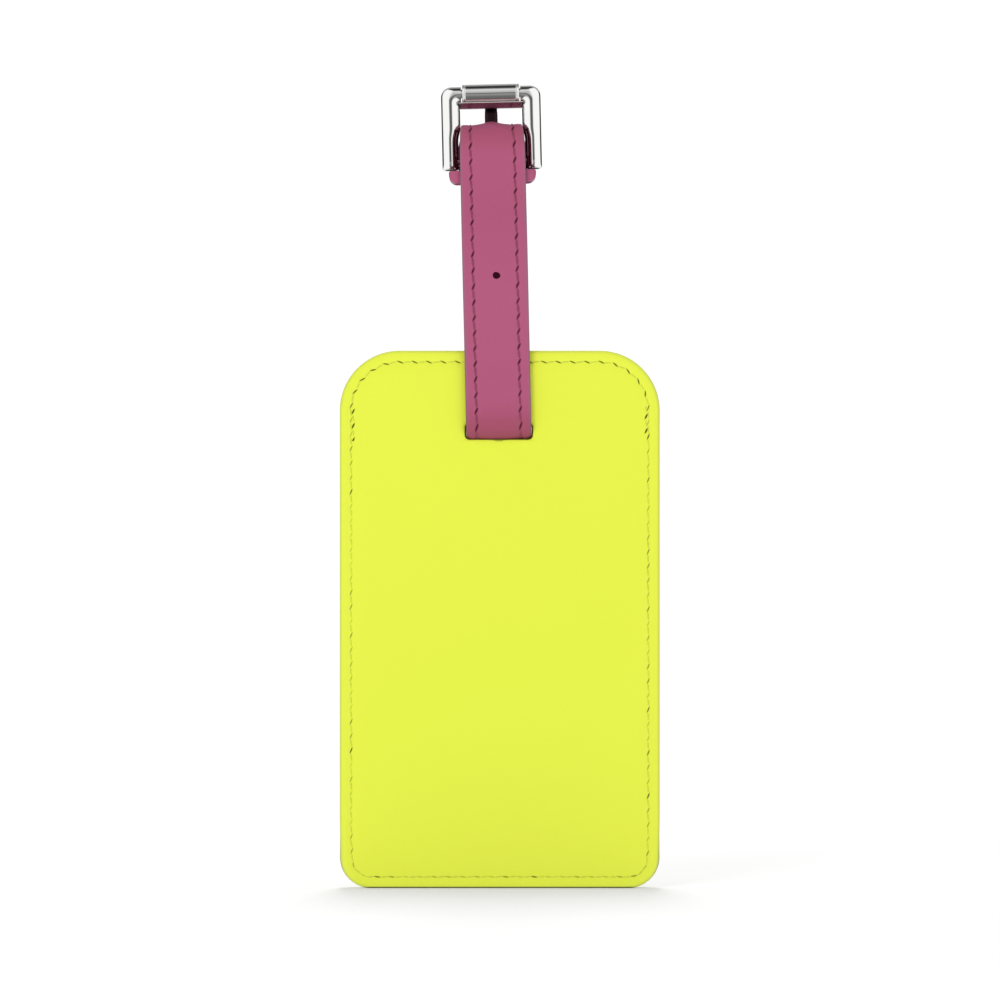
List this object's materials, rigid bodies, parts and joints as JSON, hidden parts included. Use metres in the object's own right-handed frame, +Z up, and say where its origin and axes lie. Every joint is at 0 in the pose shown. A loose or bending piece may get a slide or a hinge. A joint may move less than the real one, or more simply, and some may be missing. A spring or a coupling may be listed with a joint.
{
  "type": "luggage tag",
  "caption": "Upright leather luggage tag with a card window on the far side and a two-layer strap looped through a slot and closed by a roller buckle.",
  "frame": {"origin": "middle of the tag's flat bottom edge, halfway through its thickness", "axes": "+Z up along the tag towards the buckle, +X across the tag, -Y out of its plain back, +Y out of the side with the card window"},
  "size_m": [0.07, 0.0139, 0.1762],
  "materials": {
    "tag_leather": "smooth coated leather, satin",
    "board": "plain board",
    "film": "clear flexible film",
    "card": "blank card stock",
    "tag_thread": "waxed thread",
    "strap_leather": "smooth coated leather, satin",
    "strap_lining": "smooth leather, matte",
    "strap_thread": "waxed thread",
    "metal": "polished"
  },
  "bodies": {
    "tag": {"back_panel": "tag_leather", "stiffener_board": "board", "lining_panel": "tag_leather", "pocket_panel": "tag_leather", "window_film": "film", "tag_thread_back": "tag_thread", "tag_thread_front": "tag_thread", "window_thread": "tag_thread", "strap_outer_lower": "strap_leather", "strap_lining_lower": "strap_lining", "strap_thread_lower": "strap_thread", "strap_outer_flex": "strap_leather", "strap_lining_flex": "strap_lining", "strap_thread_flex": "strap_thread"},
    "card": {"address_card": "card"},
    "strap_upper": {"strap_outer_upper": "strap_leather", "strap_lining_upper": "strap_lining", "strap_thread_upper": "strap_thread", "chape_thread": "strap_thread"},
    "buckle": {"buckle_frame": "metal", "heel_bar": "metal"},
    "roller": {"roller": "metal"},
    "prong": {"prong": "metal"},
    "keeper": {"keeper_loop": "strap_leather"}
  },
  "joints": [
    {"name": "strap_bend", "type": "hinge", "parent": "tag", "child": "strap_upper", "pos_m": [-0.00095, -0.002, 0.12799], "axis": [0.9997, 0, 0.0227], "range_deg": [-60, 60], "deforming": ["strap_outer_flex", "strap_lining_flex", "strap_thread_flex"]},
    {"name": "buckle_pivot", "type": "hinge", "parent": "strap_upper", "child": "buckle", "pos_m": [-0.00165, 0, 0.15903], "axis": [0.9997, 0, 0.0227], "range_deg": [0, 80]},
    {"name": "prong_pivot", "type": "hinge", "parent": "strap_upper", "child": "prong", "pos_m": [-0.00165, 0, 0.15903], "axis": [0.9997, 0, 0.0227], "range_deg": [-6, 0]},
    {"name": "roller_spin", "type": "hinge", "parent": "buckle", "child": "roller", "pos_m": [-0.00199, 0, 0.17398], "axis": [0.9997, 0, 0.0227], "continuous": true},
    {"name": "keeper_slide", "type": "slide", "parent": "strap_upper", "child": "keeper", "axis": [0.0227, 0, -0.9997], "range_m": [0, 0.008]},
    {"name": "card_slide", "type": "slide", "parent": "tag", "child": "card", "axis": [0, 0, 1], "range_m": [0, 0.006]}
  ]
}
